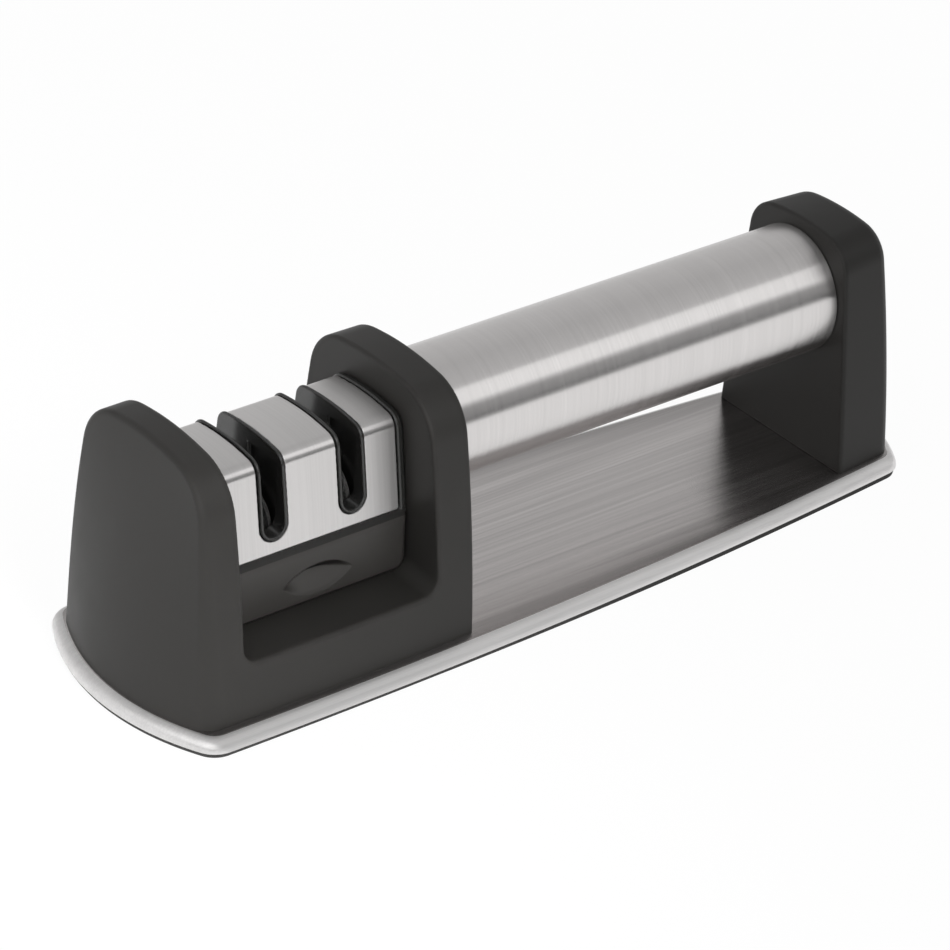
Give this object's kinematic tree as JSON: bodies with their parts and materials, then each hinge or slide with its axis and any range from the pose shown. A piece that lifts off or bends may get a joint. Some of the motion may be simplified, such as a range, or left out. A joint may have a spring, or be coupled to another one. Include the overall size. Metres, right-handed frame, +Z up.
{
  "type": "pull through knife sharpener",
  "caption": "Bench knife sharpener with a lift-out slotted head holding abrasive wheels, a tubular handle between two posts, and a tapered base with a non-slip mat.",
  "frame": {"origin": "middle of the underside of the base, on the table", "axes": "+X along the handle towards the rear post, +Z up, -Y towards the side that faces the viewer in the picture"},
  "size_m": [0.21, 0.0624, 0.0617],
  "materials": {
    "steel": "brushed",
    "plastic": "fine matt",
    "mat": "matt",
    "zinc": "zinc plated",
    "brass": "turned",
    "nylon": "smooth",
    "coarse_grit": "coarse abrasive",
    "fine_grit": "fine abrasive"
  },
  "bodies": {
    "base": {"base_mat": "mat", "base_frame": "plastic", "base_plate": "steel", "head_screws": "zinc", "post_screws": "zinc", "head_housing": "plastic", "rear_post": "plastic", "handle_tube": "steel", "tie_bolt": "zinc", "tie_washer": "zinc", "tie_insert": "brass"},
    "cartridge": {"cartridge_body": "plastic", "cartridge_cover": "steel", "cartridge_base": "plastic", "cartridge_screws": "zinc", "wheel_axle": "zinc", "wheel_washers": "nylon"},
    "coarse_wheel_left": {"coarse_wheel_left": "coarse_grit"},
    "coarse_wheel_right": {"coarse_wheel_right": "coarse_grit"},
    "fine_wheel_left": {"fine_wheel_left": "fine_grit"},
    "fine_wheel_right": {"fine_wheel_right": "fine_grit"}
  },
  "joints": [
    {"name": "cartridge_lift", "type": "slide", "parent": "base", "child": "cartridge", "axis": [0, 0, 1], "range_m": [0, 0.06]},
    {"name": "coarse_spin_left", "type": "hinge", "parent": "cartridge", "child": "coarse_wheel_left", "pos_m": [-0.07045, 0, 0.0333], "axis": [1, 0, 0], "continuous": true},
    {"name": "coarse_spin_right", "type": "hinge", "parent": "cartridge", "child": "coarse_wheel_right", "pos_m": [-0.07045, 0, 0.0333], "axis": [1, 0, 0], "continuous": true},
    {"name": "fine_spin_left", "type": "hinge", "parent": "cartridge", "child": "fine_wheel_left", "pos_m": [-0.05055, 0, 0.0333], "axis": [1, 0, 0], "continuous": true},
    {"name": "fine_spin_right", "type": "hinge", "parent": "cartridge", "child": "fine_wheel_right", "pos_m": [-0.05055, 0, 0.0333], "axis": [1, 0, 0], "continuous": true}
  ]
}
